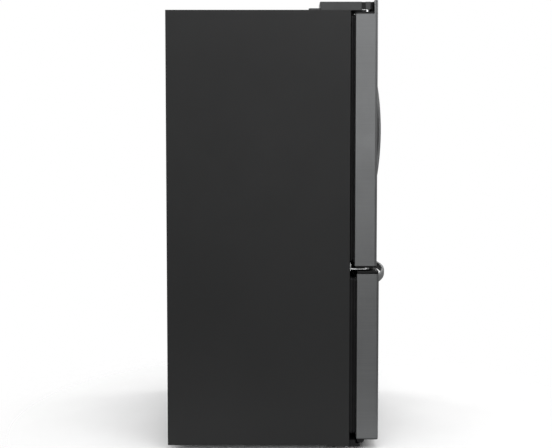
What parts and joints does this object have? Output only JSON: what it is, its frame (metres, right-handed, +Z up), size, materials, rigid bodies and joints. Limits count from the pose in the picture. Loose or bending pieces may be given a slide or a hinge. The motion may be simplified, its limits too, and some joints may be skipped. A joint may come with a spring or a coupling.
{
  "type": "french door refrigerator",
  "caption": "Floor-standing refrigerator with two side-hinged upper doors over a full-width freezer drawer with bowed handles.",
  "frame": {"origin": "on the floor, below the middle of the whole object's box", "axes": "+Z up, the doors face -Y, +X is to the right of someone facing the doors"},
  "size_m": [0.908, 0.909, 1.783],
  "materials": {
    "side_paint": "satin",
    "black_stainless": "satin",
    "zinc_plate": "satin",
    "black_plastic": "matte",
    "grey_plastic": "matte",
    "white_plastic": "satin",
    "clear_plastic": "gloss",
    "shelf_glass": "gloss",
    "gasket_rubber": "matte",
    "insulating_foam": "matte",
    "galvanised_steel": "satin",
    "black_steel": "satin",
    "roller_plastic": "matte"
  },
  "bodies": {
    "cabinet": {"cabinet_wrap": "side_paint", "rear_panel": "galvanised_steel", "insulation": "insulating_foam", "fresh_food_liner": "white_plastic", "freezer_liner": "white_plastic", "centre_rail": "side_paint", "machine_cover": "black_steel", "compressor": "black_steel", "evaporator_cover": "white_plastic", "base_deck": "galvanised_steel", "front_frame": "black_steel", "base_grille": "black_plastic", "upper_shelf_frame": "white_plastic", "upper_shelf_glass": "shelf_glass", "middle_shelf_frame": "white_plastic", "middle_shelf_glass": "shelf_glass", "crisper_cover": "shelf_glass", "control_panel": "grey_plastic", "left_leveling_leg": "zinc_plate", "left_top_hinge": "zinc_plate", "left_hinge_cover": "grey_plastic", "left_middle_hinge": "zinc_plate", "left_drawer_rail": "zinc_plate", "right_leveling_leg": "zinc_plate", "right_top_hinge": "zinc_plate", "right_hinge_cover": "grey_plastic", "right_middle_hinge": "zinc_plate", "right_drawer_rail": "zinc_plate"},
    "left_door": {"left_door_skin": "black_stainless", "left_door_top_cap": "black_plastic", "left_door_bottom_cap": "black_plastic", "left_door_liner": "white_plastic", "left_door_gasket": "gasket_rubber", "left_upper_bin": "clear_plastic", "left_lower_bin": "clear_plastic", "left_door_handle": "black_stainless"},
    "right_door": {"right_door_skin": "black_stainless", "right_door_top_cap": "black_plastic", "right_door_bottom_cap": "black_plastic", "right_door_liner": "white_plastic", "right_door_gasket": "gasket_rubber", "right_upper_bin": "clear_plastic", "right_lower_bin": "clear_plastic", "right_door_handle": "black_stainless"},
    "flip_mullion": {"flip_mullion": "grey_plastic"},
    "freezer_drawer": {"drawer_skin": "black_stainless", "drawer_top_cap": "black_plastic", "drawer_bottom_cap": "black_plastic", "drawer_liner": "white_plastic", "drawer_gasket": "gasket_rubber", "drawer_handle": "black_stainless", "drawer_carrier": "zinc_plate", "freezer_basket": "clear_plastic"},
    "freezer_tray": {"freezer_tray": "clear_plastic"},
    "left_crisper": {"left_crisper": "clear_plastic"},
    "right_crisper": {"right_crisper": "clear_plastic"},
    "front_left_roller": {"front_left_roller": "roller_plastic"},
    "front_right_roller": {"front_right_roller": "roller_plastic"},
    "rear_left_roller": {"rear_left_roller": "roller_plastic"},
    "rear_right_roller": {"rear_right_roller": "roller_plastic"}
  },
  "joints": [
    {"name": "left_door_hinge", "type": "hinge", "parent": "cabinet", "child": "left_door", "pos_m": [-0.426, -0.3385, 1.25], "axis": [0, 0, -1], "range_deg": [0, 110]},
    {"name": "right_door_hinge", "type": "hinge", "parent": "cabinet", "child": "right_door", "pos_m": [0.426, -0.3385, 1.25], "axis": [0, 0, 1], "range_deg": [0, 110]},
    {"name": "flip_mullion_hinge", "type": "hinge", "parent": "left_door", "child": "flip_mullion", "pos_m": [-0.038, -0.2615, 1.225], "axis": [0, 0, -1], "range_deg": [0, 90]},
    {"name": "freezer_drawer_slide", "type": "slide", "parent": "cabinet", "child": "freezer_drawer", "axis": [0, -1, 0], "range_m": [0, 0.42]},
    {"name": "freezer_tray_slide", "type": "slide", "parent": "freezer_drawer", "child": "freezer_tray", "axis": [0, 1, 0], "range_m": [0, 0.15]},
    {"name": "left_crisper_slide", "type": "slide", "parent": "cabinet", "child": "left_crisper", "axis": [0, -1, 0], "range_m": [0, 0.09]},
    {"name": "right_crisper_slide", "type": "slide", "parent": "cabinet", "child": "right_crisper", "axis": [0, -1, 0], "range_m": [0, 0.09]},
    {"name": "front_left_roller_spin", "type": "hinge", "parent": "cabinet", "child": "front_left_roller", "pos_m": [-0.426, -0.2105, 0.0155], "axis": [1, 0, 0], "continuous": true},
    {"name": "front_right_roller_spin", "type": "hinge", "parent": "cabinet", "child": "front_right_roller", "pos_m": [0.426, -0.2105, 0.0155], "axis": [1, 0, 0], "continuous": true},
    {"name": "rear_left_roller_spin", "type": "hinge", "parent": "cabinet", "child": "rear_left_roller", "pos_m": [-0.387, 0.3845, 0.015], "axis": [1, 0, 0], "continuous": true},
    {"name": "rear_right_roller_spin", "type": "hinge", "parent": "cabinet", "child": "rear_right_roller", "pos_m": [0.387, 0.3845, 0.015], "axis": [1, 0, 0], "continuous": true}
  ]
}
